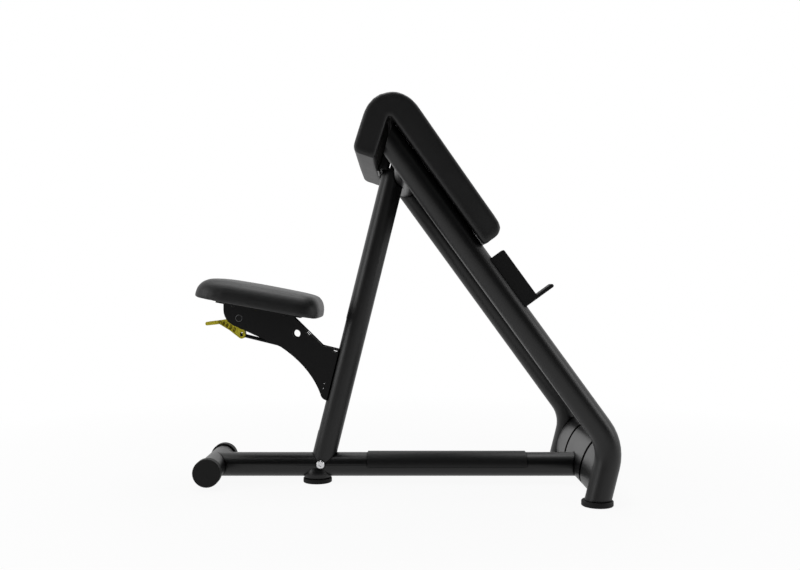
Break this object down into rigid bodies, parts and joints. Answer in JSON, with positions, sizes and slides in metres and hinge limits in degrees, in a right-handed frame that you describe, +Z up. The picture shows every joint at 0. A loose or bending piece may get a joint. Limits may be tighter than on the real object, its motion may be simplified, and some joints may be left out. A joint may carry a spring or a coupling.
{
  "type": "preacher bench",
  "caption": "Free-standing preacher curl bench: tube frame, peaked chest and arm pad, barbell rests, and a seat that slides on a leaning post with a lever-drawn locking pin.",
  "frame": {"origin": "on the floor and on the bench's middle plane, midway between the back of the rear caps and the front of the legs", "axes": "+X the way the user faces, +Y the user's left, +Z up"},
  "size_m": [1.0998, 0.619, 1.0214],
  "materials": {
    "powder_coat": "satin black powder coat",
    "plate_coat": "matt black coat on cut plate",
    "vinyl": "black vinyl, soft sheen",
    "rubber": "moulded black rubber",
    "tread_plastic": "matt black plastic sleeve",
    "yellow_plastic": "yellow moulded plastic",
    "nylon": "natural nylon",
    "plywood": "black-stained birch plywood",
    "bright_steel": "bright plated steel",
    "dark_steel": "blackened steel"
  },
  "bodies": {
    "frame": {"arm_pad": "vinyl", "arm_pad_board": "plywood", "barbell_rest_left": "plate_coat", "barbell_rest_right": "plate_coat", "base_tube": "powder_coat", "beam_spigot_left": "dark_steel", "beam_spigot_right": "dark_steel", "chest_pad_board": "plywood", "chest_pad_bracket": "powder_coat", "chest_pad_screw_left": "dark_steel", "chest_pad_screw_right": "dark_steel", "front_beam_centre": "powder_coat", "front_beam_end_left": "powder_coat", "front_beam_end_right": "powder_coat", "index_bar": "dark_steel", "leg_foot_left": "rubber", "leg_foot_right": "rubber", "leg_left": "powder_coat", "leg_right": "powder_coat", "middle_foot_collar": "powder_coat", "middle_foot_pad": "rubber", "pad_rail_left": "powder_coat", "pad_rail_right": "powder_coat", "pad_screw_lower_left": "dark_steel", "pad_screw_lower_right": "dark_steel", "pad_screw_upper_left": "dark_steel", "pad_screw_upper_right": "dark_steel", "post_bolt": "bright_steel", "post_bolt_cap_nut": "bright_steel", "post_tube": "powder_coat", "rear_cap_left": "rubber", "rear_cap_right": "rubber", "rear_crossbar": "powder_coat", "top_crossbar": "powder_coat", "tread_sleeve": "tread_plastic"},
    "seat_carriage": {"carriage_plate_left": "plate_coat", "carriage_plate_right": "plate_coat", "carriage_block": "plate_coat", "slider_shoe": "nylon", "spring_retainer": "dark_steel", "lock_spring": "bright_steel", "seat_plate": "plate_coat", "seat_board": "plywood", "seat_cushion": "vinyl", "seat_screw_front_left": "dark_steel", "seat_screw_front_right": "dark_steel", "seat_screw_rear_left": "dark_steel", "seat_screw_rear_right": "dark_steel", "lever_pin": "plate_coat", "lever_bush_left": "nylon", "lever_bush_right": "nylon"},
    "lever": {"release_lever": "yellow_plastic"},
    "locking_pin": {"locking_pin": "bright_steel", "pull_rod": "dark_steel", "rod_cross_pin": "dark_steel"}
  },
  "joints": [
    {"name": "seat_height", "type": "slide", "parent": "frame", "child": "seat_carriage", "axis": [0.2403, 0, 0.9707], "range_m": [-0.09, 0.09]},
    {"name": "release_lever", "type": "hinge", "parent": "seat_carriage", "child": "lever", "pos_m": [-0.44335, 0, 0.45356], "axis": [0, 1, 0], "range_deg": [0, 12], "stiffness_Nm_per_rad": 2, "springref_deg": -8.59},
    {"name": "locking_pin", "type": "slide", "parent": "seat_carriage", "child": "locking_pin", "axis": [-0.9707, 0, 0.2403], "range_m": [0, 0.01], "deforming": ["lock_spring"]}
  ],
  "couplings": [
    {"joint": "locking_pin", "follows": "release_lever", "m_per_rad": 0.047}
  ]
}
